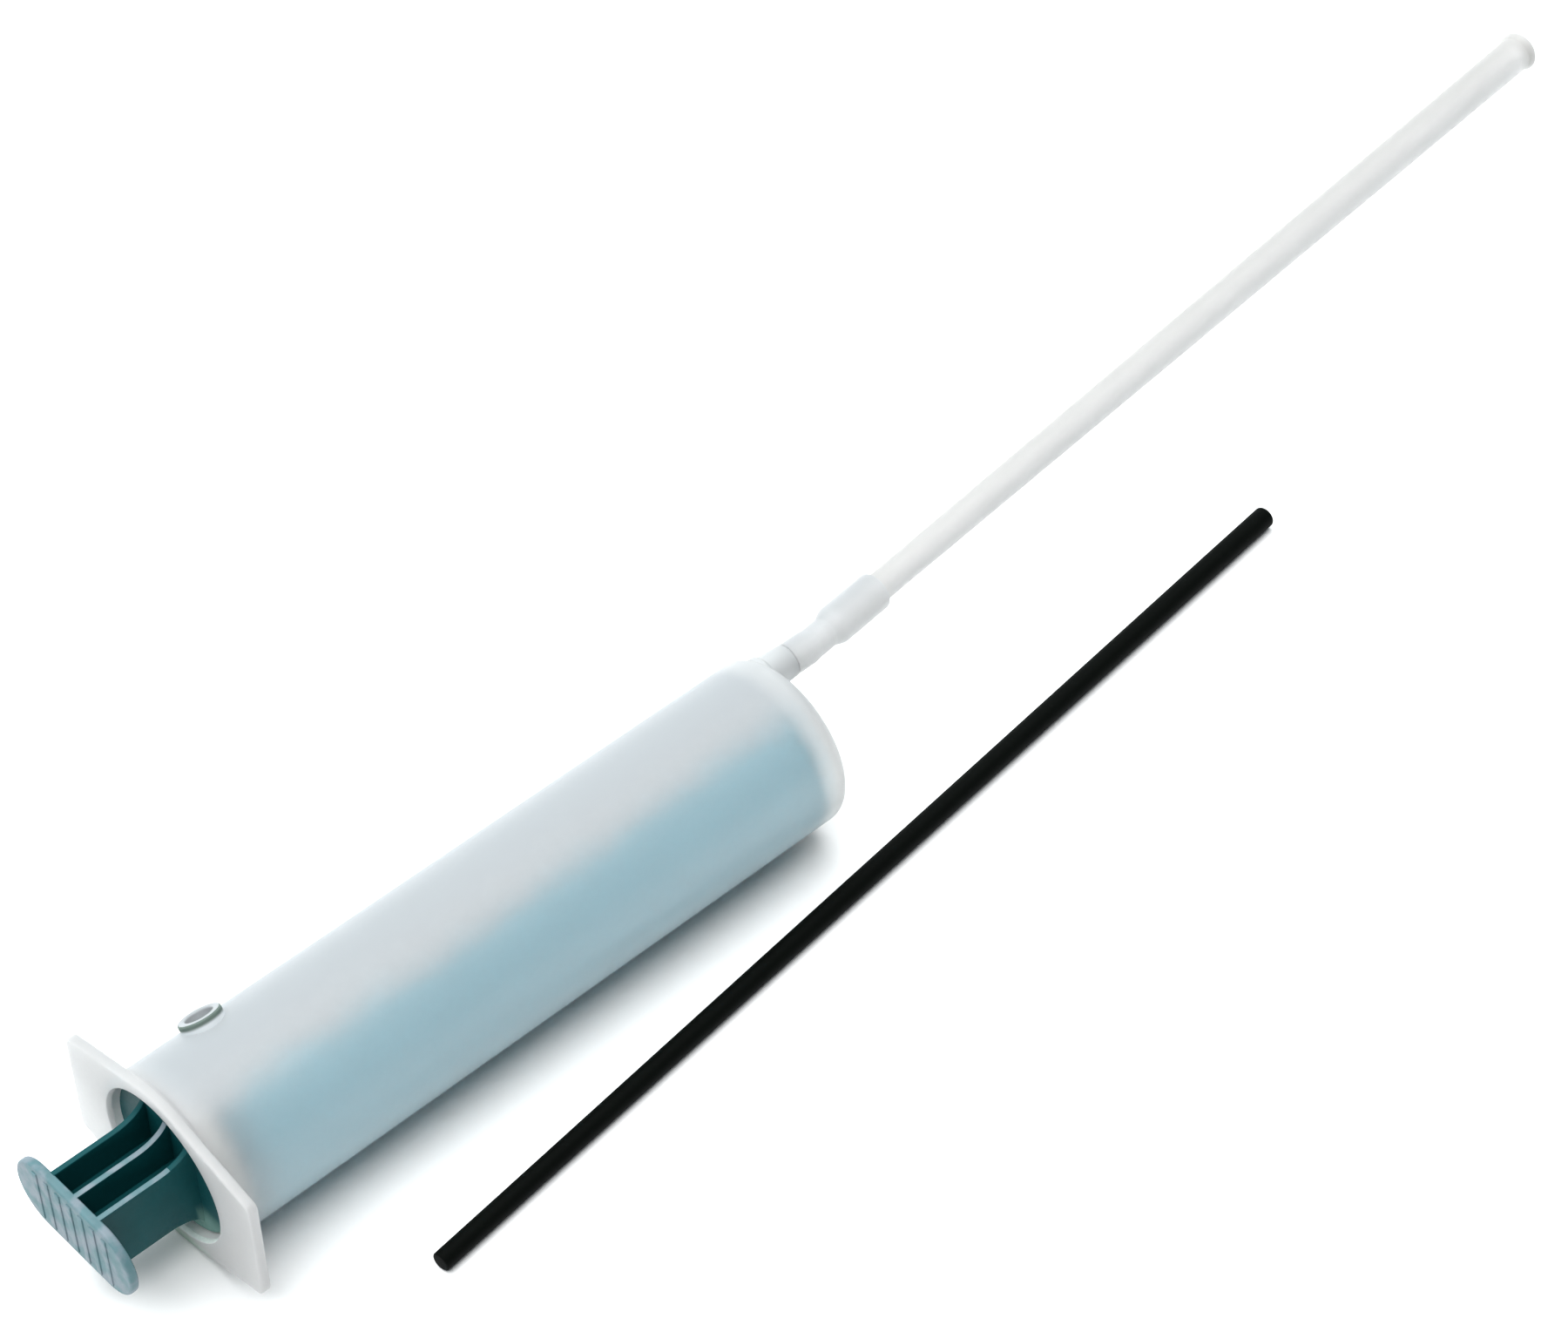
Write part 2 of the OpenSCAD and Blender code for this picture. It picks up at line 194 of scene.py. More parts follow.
class PlungerSettings(bpy.types.PropertyGroup):
    plate_depth: length("Plate depth", "Depth of each long plate, edge to edge", 13)
    plate_spacing: length("Plate spacing", "Distance between neighbouring plates", 5.6)
    plate_thickness: length("Plate thickness", "Thickness of a plate", 1)
    plate_count: IntProperty(name="Plates", description="Number of long plates", default=3, min=1, max=5)
    web: length("Web", "Thickness of the web between the plates", 1.4)
    handle: length("Handle", "From the thumb pad's inner face to the flange's rear face", 14.8)
    pad_half_length: length("Pad half length", "Half the length of the thumb pad", 14)
    pad_half_width: length("Pad half width", "Half the width of the thumb pad", 6.5)
    pad_thickness: length("Pad thickness", "Thickness of the thumb pad", 1.6)
    ridge_rise: length("Ridge rise", "Height of a grip ridge", 0.2)
    ridge_width: length("Ridge width", "Width of a grip ridge", 1.1)
    ridge_pitch: length("Ridge pitch", "Distance between grip ridges", 2.8)
    ridge_count: IntProperty(name="Ridges", description="Number of grip ridges", default=7, min=0, max=15)
    disc_gap: length("Disc gap", "Gap between the two discs and the bore", 0.3)
    disc_place: length("Disc place", "From the flange's rear face to the guide disc", 1.9)
    disc_thickness: length("Disc thickness", "Thickness of the guide disc and the head disc", 2)
    flare_reach: length("Flare length", "Length of the flares behind the guide disc", 6)
    flare_inset: length("Flare inset", "From the flares' tops to the disc's edge", 3)
    neck: length("Neck", "Radius of the neck that enters the seal", 4)
    neck_reach: length("Neck length", "Length of the neck inside the seal", 2.5)
    button: length("Button", "Radius of the button that holds the seal", 6.5)
    button_thickness: length("Button thickness", "Thickness of the button", 3)
    # Painted light: a highlight on plate edges that stops here, in the pad tint, and a paler zone low on the
    # guide disc
    highlight_stop: length("Highlight stop", "From the end of the near plate's painted edge highlight to the flange's rear face", 2)
    tint: colour("Tint", "Colour of the moulded plastic", "0d494d")
    pad_and_highlight_tint: colour("Pad and highlight tint", "Paler colour of the pad, and painted highlight on plate edges", "547b82")
    chalk_tint: colour("Chalk tint", "Colour of the most rubbed patches of the pad", "6f7d86")
    low_painted_tint: colour("Low painted tint", "Painted light low on the guide disc", "62857e")


class CouplingSettings(bpy.types.PropertyGroup):
    cuff: length("Cuff", "Outer radius round the nozzle's spigot", 2.85)
    slim: length("Slim", "Outer radius of the slim stretch", 2.66)
    wide: length("Wide", "Outer radius of the wide stretch", 3.38)
    wall: length("Wall", "Thickness of the soft wall", 0.8)
    rear: length("Rear", "Length of the coupling before its bend", 4.6)
    cuff_end: length("Cuff end", "From the cuff's end to the bend", 1.2)
    slim_start: length("Slim start", "From the bend to the slim stretch", 0.8)
    step_place: length("Step place", "From the bend to the step", 4.2)
    step_reach: length("Step length", "Length of the step", 1.6)
    front: length("Front", "From the bend to the front end", 16.4)
    bend: length("Bend", "Radius of the slight bend", 30)
    gap: length("Gap", "Gap between the collar and the coupling", 0.1)
    turn: angle("Turn", "Turn of the tube away from the barrel's direction", 6.1)
    tint: colour("Tint", "Colour of the soft plastic", "fcfdfe")
    # Painted shade on the coupling's lit side
    lit_side_shade_tint: colour("Lit side shade tint", "Painted shade on the soft plastic's lit side", "babcbe")


class TubeSettings(bpy.types.PropertyGroup):
    start: length("Start", "From the coupling's bend to the tube's hidden end", 7.1)
    reach: length("Length", "Length of the tube", 194.2)
    socket: length("Socket", "Length of the straight stretch inside the coupling", 9.3)
    mouth: length("Mouth", "Length of the straight bore at the free end", 12)
    taper: length("Taper rounding", "Rounding where the taper meets a straight stretch", 50)
    rear_radius: length("Rear radius", "Outer radius inside the coupling", 2.5)
    front_radius: length("Front radius", "Outer radius at the free end", 3.3)
    wall: length("Wall", "Thickness of the tube's wall", 0.8)
    lip_rise: length("Lip rise", "Height of the lip round the free end", 0.5)
    lip_reach: length("Lip length", "Length of the lip round the free end", 1.6)
    tint: colour("Tint", "Colour of the milky plastic", "fefcfb")
    # Painted shade on the tube's lit side and round its open end
    lit_side_shade_tint: colour("Lit side shade tint", "Painted shade on the milky plastic's lit side and round its open end", "bcbab8")


class RodSettings(bpy.types.PropertyGroup):
    slim_radius: length("Slim radius", "Radius at the slim end", 1.65)
    thick_radius: length("Thick radius", "Radius at the thick end", 1.92)
    straight: length("Straight", "Length of the straight stretch at each end", 15)
    reach: length("Length", "Length of the rod", 206.9)
    turn: angle("Turn", "Turn of the rod away from the barrel's direction", 6.55)
    edge: length("Edge", "Rounding of the rod's end edges", 0.35)
    tint: colour("Tint", "Colour of the rod", "030604")


class StageSettings(bpy.types.PropertyGroup):
    floor_size: length("Floor size", "Width of the pale floor", 9000)
    floor_drop: length("Floor drop", "How far the floor lies below the object", 0.05)
    floor_tint: colour("Floor", "Colour of the floor", "fbfbfb")
    key_strength: strength("Key light", "Strength of the soft overhead light", 4.5)
    key_spread: angle("Key spread", "Width of the overhead light in the sky", 72)
    room_bright: strength("Bright side", "Room light from the barrel's far side", 1.0)
    room_dim: strength("Dim side", "Room light from the rod's side", 0.12)
    room_tint: colour("Room", "Colour of the room light", "effcff")


# Small tools
def add(tree, kind, inputs=(), links=(), **settings):
    """Adds a node with its settings, input values and links, and returns it."""
    node = tree.nodes.new(kind)
    for name, value in settings.items():
        setattr(node, name, value)
    for name, value in dict(inputs).items():
        node.inputs[name].default_value = value
    for name, socket in dict(links).items():
        tree.links.new(socket, node.inputs[name])
    return node


def facing(origin, forward, side):
    """A frame at origin whose Z runs forward and whose X leans towards side."""
    z_axis = Vector(forward).normalized()
    y_axis = z_axis.cross(Vector(side)).normalized()
    turned = Matrix((y_axis.cross(z_axis), y_axis, z_axis)).transposed().to_4x4()
    return Matrix.Translation(Vector(origin)) @ turned


def on_axis(station, side=0.0, height=0.0):
    """A frame on the barrel's axis: its X is the room's +Y, its Y the room's +Z, its Z along the barrel."""
    return facing((REAR + station, AXIS_SIDE + side, AXIS_HEIGHT + height), (1, 0, 0), (0, 1, 0))


def soften(corners, closed=False, steps=5):
    """Turns corners of (across, along, rounding) into points, with an arc at each rounded corner."""
    points = []
    last = len(corners) - 1
    for spot, (across, along, rounding) in enumerate(corners):
        here = Vector((across, along))
        if not rounding or (not closed and spot in (0, last)):
            points.append(here)
            continue
        before = (Vector(corners[spot - 1][:2]) - here).normalized()
        after = (Vector(corners[(spot + 1) % len(corners)][:2]) - here).normalized()
        half = before.angle(after) / 2
        centre = here + (before + after).normalized() * rounding / math.sin(half)
        start = here + before * rounding / math.tan(half) - centre
        end = here + after * rounding / math.tan(half) - centre
        sweep = start.angle(end)
        for step in range(steps + 1):
            share = step / steps
            mixed = start * math.sin((1 - share) * sweep) + end * math.sin(share * sweep)
            points.append(centre + mixed / math.sin(sweep))
    return points


def spread(points, gap):
    """Adds points to a profile so that no straight stretch is longer than gap."""
    out = [points[0]]
    for start, end in zip(points, points[1:]):
        pieces = max(1, math.ceil((end - start).length / gap))
        out += [start.lerp(end, step / pieces) for step in range(1, pieces + 1)]
    return out


def new_object(name, shape):
    """Links an object for a finished bmesh, or for a mesh or curve."""
    if isinstance(shape, bmesh.types.BMesh):
        mesh = bpy.data.meshes.new(name)
        shape.to_mesh(mesh)
        shape.free()
        shape = mesh
    piece = bpy.data.objects.new(name, shape)
    bpy.context.scene.collection.objects.link(piece)
    return piece


def circle(across, along, radius, count):
    """Points of a flat circle."""
    return [Vector((across + radius * math.cos(math.tau * spot / count),
                    along + radius * math.sin(math.tau * spot / count))) for spot in range(count)]


def bridge(shape, lower, upper, count):
    """Joins two rings of points with faces; a ring may also be one point, the tip of a cone or a disc."""
    for spot in range(count):
        after = (spot + 1) % count
        corners = [lower[spot % len(lower)], lower[after % len(lower)],
                   upper[after % len(upper)], upper[spot % len(upper)]]
        corners = list(dict.fromkeys(corners))
        if len(corners) > 2:
            shape.faces.new(corners)


def revolve(name, profile, place, count=ROUND, closed=False):
    """A turned solid: the profile of (radius, station) points goes round Z of the place."""
    on_the_axis = 1e-7
    shape = bmesh.new()
    rings = []
    for radius, station in profile:
        points = [(0, 0)] if radius < on_the_axis else circle(0, 0, radius, count)
        rings.append([shape.verts.new(place @ Vector((*point, station))) for point in points])
    for lower, upper in list(zip(rings, rings[1:])) + ([(rings[-1], rings[0])] if closed else []):
        bridge(shape, lower, upper, count)
    bmesh.ops.recalc_face_normals(shape, faces=shape.faces)
    return new_object(name, shape)


def slab(name, outline, low, high, edge, place, steps=3):
    """A plate: the outline of (x, y) points stands from low to high along Z, with rounded rims."""
    count = len(outline)
    inward = []
    for spot, here in enumerate(outline):
        before = (here - outline[spot - 1]).normalized()
        after = (outline[(spot + 1) % count] - here).normalized()
        along = (before + after).normalized()
        inward.append(Vector((-along.y, along.x)) / max(0.5, along.dot(after)))
    turns = [math.pi / 2 * step / steps for step in range(steps + 1)]
    levels = [(edge * (1 - math.sin(turn)), low + edge * (1 - math.cos(turn))) for turn in turns]
    levels += [(inset, low + high - level) for inset, level in reversed(levels)]
    shape = bmesh.new()
    rings = [[shape.verts.new(place @ Vector((*(point + turn * inset), level)))
              for point, turn in zip(outline, inward)] for inset, level in levels]
    for lower, upper in zip(rings, rings[1:]):
        bridge(shape, lower, upper, count)
    shape.faces.new(reversed(rings[0]))
    shape.faces.new(rings[-1])
    bmesh.ops.recalc_face_normals(shape, faces=shape.faces)
    return new_object(name, shape)


def hull(points):
    """The outline round a set of flat points, counterclockwise."""
    ordered = sorted({(round(point.x, 9), round(point.y, 9)) for point in points})
    outline = []
    for run in (ordered, ordered[::-1]):
        part = []
        for point in run:
            while len(part) > 1 and ((part[-1][0] - part[-2][0]) * (point[1] - part[-2][1])
                                     - (part[-1][1] - part[-2][1]) * (point[0] - part[-2][0])) <= 0:
                part.pop()
            part.append(point)
        outline += part[:-1]
    return [Vector(point) for point in outline]


def settle(piece):
    """Turns a piece and its modifiers into a plain mesh."""
    evaluated = piece.evaluated_get(bpy.context.evaluated_depsgraph_get())
    mesh = bpy.data.meshes.new_from_object(evaluated)
    name = piece.name
    bpy.data.objects.remove(piece)
    return new_object(name, mesh)


def combine(piece, tools, operation):
    """Joins tools to a piece, or cuts them from it."""
    for tool in tools:
        modifier = piece.modifiers.new(operation.title(), "BOOLEAN")
        modifier.solver = "EXACT"
        modifier.operation = operation
        modifier.object = tool
        piece = settle(piece)
        bpy.data.objects.remove(tool)
    return piece


def grow(piece, tree, inputs):
    """Runs a geometry node tree on a piece with its named inputs, and returns the plain mesh piece."""
    modifier = piece.modifiers.new(tree.name, "NODES")
    modifier.node_group = tree
    named = {item.name: item.identifier for item in tree.interface.items_tree
             if item.item_type == "SOCKET" and item.in_out == "INPUT"}
    for name, value in inputs.items():
        modifier[named[name]] = value
    return settle(piece)


def bevel(piece, width):
    """Rounds the sharp edges of a piece, and returns the plain mesh piece."""
    modifier = piece.modifiers.new("Soft edges", "BEVEL")
    modifier.width = width
    modifier.segments = 2
    modifier.limit_method = "ANGLE"
    modifier.angle_limit = SHARP_ANGLE
    return settle(piece)


def hand_over(piece, material, body, node):
    """Cleans and shades a piece, gives it its finish, hangs it on its body's empty and hides the solid that it
    stands for.
    """
    shape = bmesh.new()
    shape.from_mesh(piece.data)
    bmesh.ops.remove_doubles(shape, verts=shape.verts, dist=2e-6)
    bmesh.ops.dissolve_degenerate(shape, edges=shape.edges, dist=1e-6)
    shape.to_mesh(piece.data)
    shape.free()
    piece.data.shade_smooth()
    piece.data.set_sharp_from_angle(angle=SHARP_ANGLE)
    piece.data.materials.clear()
    piece.data.materials.append(material)
    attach(piece, body)
    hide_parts(node)


# Finishes
def new_material(name):
    """A new material; returns it with its node tree, its shader and its object coordinates."""
    material = bpy.data.materials.new(name)
    material.use_nodes = True
    tree = material.node_tree
    return material, tree, tree.nodes["Principled BSDF"], add(tree, "ShaderNodeTexCoord").outputs["Object"]


def per_metre(millimetres):
    """Noise scale whose features are that many millimetres wide."""
    return 1000 / millimetres


class Finish:
    """A plastic in the making: its tint drifts darker in patches, with grain in its gloss and its relief.

    The patches, the grain and the relief are in millimetres.
    """

    def __init__(self, name, tint, drift, patch, grain, rough, relief):
        self.material, self.tree, self.shader, self.place = new_material(name)
        darker = tuple(part * drift for part in tint[:3]) + (1.0,)
        patches = add(self.tree, "ShaderNodeTexNoise", {"Scale": per_metre(patch), "Detail": 3},
                      {"Vector": self.place})
        grains = add(self.tree, "ShaderNodeTexNoise", {"Scale": per_metre(grain), "Detail": 2},
                     {"Vector": self.place})
        tinted = add(self.tree, "ShaderNodeMix", {MIX_FIRST: tint, MIX_SECOND: darker},
                     {MIX_SHARE: patches.outputs["Fac"]}, data_type="RGBA")
        gloss = add(self.tree, "ShaderNodeMapRange", {"To Min": rough[0], "To Max": rough[1]},
                    {"Value": grains.outputs["Fac"]})
        bump = add(self.tree, "ShaderNodeBump", {"Strength": 0.6, "Distance": relief / 1000},
                   {"Height": grains.outputs["Fac"]})
        self.feed("Base Color", tinted.outputs[MIX_RESULT])
        self.feed("Roughness", gloss.outputs["Result"])
        self.feed("Normal", bump.outputs["Normal"])

    def feed(self, name, socket):
        """Links a socket to one of the shader's inputs."""
        self.tree.links.new(socket, self.shader.inputs[name])

    def fade(self, start, end, way=ALONG, waver=0.0):
        """A share that rises smoothly from 0 to 1 between two distances from the flange's rear centre.

        They are in metres along the way, and the waver makes the edge uneven.
        """
        centred = add(self.tree, "ShaderNodeVectorMath", {1: CENTRE}, {0: self.place}, operation="SUBTRACT")
        along = add(self.tree, "ShaderNodeVectorMath", {1: way}, {0: centred.outputs[0]},
                    operation="DOT_PRODUCT")
        cloud = add(self.tree, "ShaderNodeTexNoise", {"Scale": per_metre(9.0), "Detail": 4},
                    {"Vector": self.place})
        wavy = add(self.tree, "ShaderNodeMath", {1: waver},
                   {0: cloud.outputs["Fac"], 2: along.outputs["Value"]}, operation="MULTIPLY_ADD")
        return add(self.tree, "ShaderNodeMapRange",
                   {"From Min": start + waver / 2, "From Max": end + waver / 2},
                   {"Value": wavy.outputs[0]}, interpolation_type="SMOOTHSTEP").outputs[0]

    def blend(self, tint, *shares):
        """Lets the colour pattern take over from a plain tint as the largest of the shares rises."""
        share = shares[0]
        for other in shares[1:]:
            share = add(self.tree, "ShaderNodeMath", links={0: share, 1: other},
                        operation="MAXIMUM").outputs[0]
        pattern = self.shader.inputs["Base Color"].links[0].from_socket
        mixed = add(self.tree, "ShaderNodeMix", {MIX_FIRST: tint},
                    {MIX_SHARE: share, MIX_SECOND: pattern}, data_type="RGBA")
        self.feed("Base Color", mixed.outputs[MIX_RESULT])

    def done(self, ior, specular=0.5, clear=0.0, glow=0.0):
        """Sets the shader's values that no node feeds, and returns the material; light spreads by the glow."""
        values = {"IOR": ior, "Specular IOR Level": specular, "Transmission Weight": clear}
        if glow:
            values.update({"Subsurface Weight": 1.0, "Subsurface Scale": glow,
                           "Subsurface Radius": (1.0, 1.0, 1.0)})
        for name, value in values.items():
            if not self.shader.inputs[name].is_linked:
                self.shader.inputs[name].default_value = value
        return self.material


def frosted_polypropylene(sizes):
    """Moulded natural polypropylene with an etched face: white where thick, milky and clearer where thin. Its
    lit side is painted darker and less clear, and painted shade lies on its closed end's lit side and low on
    the flange.
    """
    look = Finish("frosted polypropylene", sizes.tint, drift=0.94, patch=1.2, grain=0.7,
                  rough=(0.34, 0.46), relief=0.02)
    beyond_flange = look.fade(start=0.001, end=0.005)
    before_end = look.fade(start=sizes.reach - 0.0035, end=sizes.reach - 0.007, waver=0.002)
    # Painted shade: darker tints on the wall's lit side and on the closed end's lit side
    below_top = look.fade(start=0.0142, end=0.007, way=LIT_SIDE, waver=0.004)
    below_rim = look.fade(start=0.012, end=-0.004, way=LIT_SIDE)
    # Painted grey-green shade low on the flange, short of the rod's side
    above_flange_shade = look.fade(start=-0.0155, end=-0.0115, way=UP, waver=0.002)
    beside_flange_shade = look.fade(start=0.006, end=0.011, way=TOWARDS_ROD, waver=0.002)
    look.blend(sizes.lit_side_shade_tint, below_top)
    look.blend(sizes.lit_rim_shade_tint, before_end, below_rim)
    look.blend(sizes.flange_tint, beyond_flange)
    look.blend(sizes.low_flange_shade_tint, above_flange_shade, beside_flange_shade, beyond_flange)

    # The thin wall is clear, and painted less clear on its lit side; light spreads in the flange
    thin = add(look.tree, "ShaderNodeMath", links={0: beyond_flange, 1: before_end}, operation="MULTIPLY")
    wall = add(look.tree, "ShaderNodeMapRange", {"To Min": 0.42, "To Max": 0.86}, {"Value": below_top})
    clear = add(look.tree, "ShaderNodeMapRange", {"To Min": 0.4},
                {"Value": thin.outputs[0], "To Max": wall.outputs[0]})
    thick = add(look.tree, "ShaderNodeMapRange", {"To Min": 1.0, "To Max": 0.0}, {"Value": beyond_flange})
    look.feed("Transmission Weight", clear.outputs[0])
    look.feed("Subsurface Weight", thick.outputs[0])
    return look.done(ior=1.49, specular=0.2, glow=0.005)


def bore_polypropylene(sizes):
    """The moulded bore: the same plastic, with a painted cool cast that stands for the blue plunger seen
    through the frosted wall, a painted grey on its lit side and the plain tint at the mouth.
    """
    look = Finish("polypropylene bore with painted cool cast", sizes.painted_cast_tint, drift=0.85, patch=1.2, grain=0.7,
                  rough=(0.3, 0.4), relief=0.01)
    beyond_mouth = look.fade(start=0.001, end=0.014)
    below_top = look.fade(start=0.013, end=0.0065, way=LIT_SIDE, waver=0.004)
    # Painted cool cast, giving way to painted grey on the lit side and near the mouth
    cool = add(look.tree, "ShaderNodeMath", links={0: beyond_mouth, 1: below_top}, operation="MULTIPLY")
    look.blend(sizes.painted_lit_bore_tint, cool.outputs[0])
    look.blend(sizes.tint, look.fade(start=0.004, end=0.008))
    return look.done(ior=1.49, clear=0.2)


def painted_mouth_and_vent_shade(sizes, out):
    """Painted shade low in the mouth and in a strip under the vent's top edge: a dull grey-green, with the
    wall's painted lit-side shade at the foot of the vent ring.
    """
    look = Finish("painted grey-green shade", sizes.low_painted_tint, drift=0.7, patch=0.8, grain=0.3,
                  rough=(0.6, 0.75), relief=0.02)
    in_mouth = look.fade(start=0.011, end=0.008)
    look.blend(sizes.vent_shade_tint, in_mouth)
    look.blend(sizes.lit_side_shade_tint, in_mouth, look.fade(start=0.0151, end=0.0157, way=out))
    return look.done(ior=1.5, glow=0.005)


def satin_polyethylene(sizes):
    """Moulded blue-grey polyethylene: satin with a faint flow pattern, and painted light low on the guide
    disc, a paler green-grey.
    """
    look = Finish("satin blue-grey polyethylene", sizes.tint, drift=0.8, patch=2.2, grain=0.5,
                  rough=(0.42, 0.54), relief=0.02)
    # Painted light: a paler green-grey low on the guide disc
    above_lit_zone = look.fade(start=-0.009, end=-0.004, way=UP, waver=0.004)
    behind_disc = look.fade(start=0.0015, end=0.0005)
    past_disc = look.fade(start=0.0042, end=0.0052)
    look.blend(sizes.low_painted_tint, behind_disc, past_disc, above_lit_zone)
    return look.done(ior=1.51, specular=0.1)


def pale_pad_and_highlight_polyethylene(sizes):
    """The same plastic, paler and cloudy, with chalky patches: paler on the pad than on the plates, and a
    painted highlight on plate edges.
    """
    look = Finish("pale pad polyethylene and painted highlights", sizes.pad_and_highlight_tint, drift=0.6, patch=3.2, grain=0.5,
                  rough=(0.5, 0.65), relief=0.02)
    rubs = add(look.tree, "ShaderNodeTexNoise", {"Scale": per_metre(3.4), "Detail": 3},
               {"Vector": look.place})
    unrubbed = add(look.tree, "ShaderNodeMapRange", {"From Min": 0.38, "From Max": 0.62},
                   {"Value": rubs.outputs["Fac"]}, interpolation_type="SMOOTHSTEP")
    look.blend(sizes.chalk_tint, unrubbed.outputs[0])
    return look.done(ior=1.51)


def seal_rubber(sizes):
    """Moulded thermoplastic rubber: dull, in a muted blue-grey."""
    look = Finish("matt seal rubber", sizes.tint, drift=0.85, patch=3.0, grain=0.4,
                  rough=(0.55, 0.7), relief=0.02)
    return look.done(ior=1.5)


def soft_vinyl(sizes, way, axis):
    """Soft clear vinyl hose gone cloudy: light spreads in it, its highlights are soft, and painted shade
    darkens its lit side.
    """
    look = Finish("cloudy soft vinyl", sizes.tint, drift=0.95, patch=2.0, grain=1.5,
                  rough=(0.3, 0.4), relief=0.003)
    # Painted shade on the lit side
    look.blend(sizes.lit_side_shade_tint, look.fade(start=axis + LIT_START, end=axis + LIT_END, way=way))
    return look.done(ior=1.4, specular=0.2, clear=0.3, glow=0.004)


def milky_polyethylene(sizes, way, axis, ahead, tip):
    """Extruded natural low-density polyethylene: milky and satin, with painted shade on its lit side and all
    round its open end, so that end is evenly pale.
    """
    look = Finish("milky polyethylene", sizes.tint, drift=0.96, patch=4.0, grain=0.6,
                  rough=(0.35, 0.48), relief=0.01)
    # Painted shade on the lit side and all round the open end
    below_light = look.fade(start=axis + LIT_START, end=axis + LIT_END, way=way)
    before_mouth = look.fade(start=tip - 0.001, end=tip - 0.005, way=ahead)
    shaded = add(look.tree, "ShaderNodeMath", links={0: below_light, 1: before_mouth},
                 operation="MULTIPLY")
    look.blend(sizes.lit_side_shade_tint, shaded.outputs[0])
    return look.done(ior=1.51, specular=0.2, clear=0.3, glow=0.004)


def black_rod_plastic(sizes):
    """Drawn black polyethylene rod: near black and satin, with a faint grain."""
    look = Finish("satin black polyethylene", sizes.tint, drift=0.6, patch=3.0, grain=0.5,
                  rough=(0.6, 0.75), relief=0.01)
    return look.done(ior=1.5, specular=0.05)


def studio_paper(tint):
    """Matt white paper sweep: even and without gloss."""
    material, tree, shader, place = new_material("matt white paper")
    fibres = add(tree, "ShaderNodeTexNoise", {"Scale": per_metre(2.0), "Detail": 2}, {"Vector": place})
    bump = add(tree, "ShaderNodeBump", {"Strength": 0.1, "Distance": 0.00002},
               {"Height": fibres.outputs["Fac"]})
    tree.links.new(bump.outputs["Normal"], shader.inputs["Normal"])
    shader.inputs["Base Color"].default_value = tint
    shader.inputs["Roughness"].default_value = 0.95
    shader.inputs["Specular IOR Level"].default_value = 0.0
    return material


# Node trees for what repeats or follows a path
def new_tree(name, integers, floats, vectors=()):
    """A geometry node tree with its named inputs; returns the tree and its inputs' sockets by name."""
    tree = bpy.data.node_groups.new(name, "GeometryNodeTree")
    tree.interface.new_socket("Geometry", in_out="INPUT", socket_type="NodeSocketGeometry")
    kinds = {"Int": integers, "Float": floats, "Vector": vectors, "Material": ("Material",)}
    for kind, labels in kinds.items():
        for label in labels:
            tree.interface.new_socket(label, in_out="INPUT", socket_type="NodeSocket" + kind)
    tree.interface.new_socket("Geometry", in_out="OUTPUT", socket_type="NodeSocketGeometry")
    return tree, add(tree, "NodeGroupInput").outputs


def close_tree(tree, entry, geometry):
    """Ends a tree in Realize Instances and Set Material, and returns it."""
    real = add(tree, "GeometryNodeRealizeInstances", links={"Geometry": geometry})
    painted = add(tree, "GeometryNodeSetMaterial",
                  links={"Geometry": real.outputs[0], "Material": entry["Material"]})
    add(tree, "NodeGroupOutput", links={0: painted.outputs[0]})
    return tree


def thicken(tree, surface, thickness):
    """Gives an open surface a wall: a raised copy with its sides, and the surface itself turned round."""
    raised = add(tree, "GeometryNodeExtrudeMesh", {"Individual": False},
                 {"Mesh": surface, "Offset Scale": thickness})
    back = add(tree, "GeometryNodeFlipFaces", links={"Mesh": surface})
    both = add(tree, "GeometryNodeJoinGeometry", links={"Geometry": raised.outputs["Mesh"]})
    tree.links.new(back.outputs[0], both.inputs[0])
    return add(tree, "GeometryNodeMergeByDistance", {"Distance": 1e-6},
               {"Geometry": both.outputs[0]}).outputs[0]


def centred_row(tree, count, pitch, middle=None):
    """Points at a pitch along Y, centred on the origin or on a middle."""
    less = add(tree, "ShaderNodeMath", {1: 1.0}, {0: count}, operation="SUBTRACT")
    half = add(tree, "ShaderNodeMath", {1: -0.5}, {0: less.outputs[0]}, operation="MULTIPLY")
    shift = add(tree, "ShaderNodeMath", links={0: half.outputs[0], 1: pitch}, operation="MULTIPLY")
    start = add(tree, "ShaderNodeCombineXYZ", links={"Y": shift.outputs[0]})
    if middle:
        start = add(tree, "ShaderNodeVectorMath", links={0: start.outputs[0], 1: middle}, operation="ADD")
    pace = add(tree, "ShaderNodeCombineXYZ", links={"Y": pitch})
    return add(tree, "GeometryNodeMeshLine", links={
        "Count": count, "Start Location": start.outputs[0], "Offset": pace.outputs[0]}).outputs[0]


def plate_tree():
    """Thickens one flat plate outline and repeats it side by side."""
    tree, entry = new_tree("Plates", ("Count",), ("Spacing", "Thickness"))
    solid = thicken(tree, entry["Geometry"], entry["Thickness"])
    row = centred_row(tree, entry["Count"], entry["Spacing"])
    copies = add(tree, "GeometryNodeInstanceOnPoints", links={"Points": row, "Instance": solid})
    return close_tree(tree, entry, copies.outputs[0])


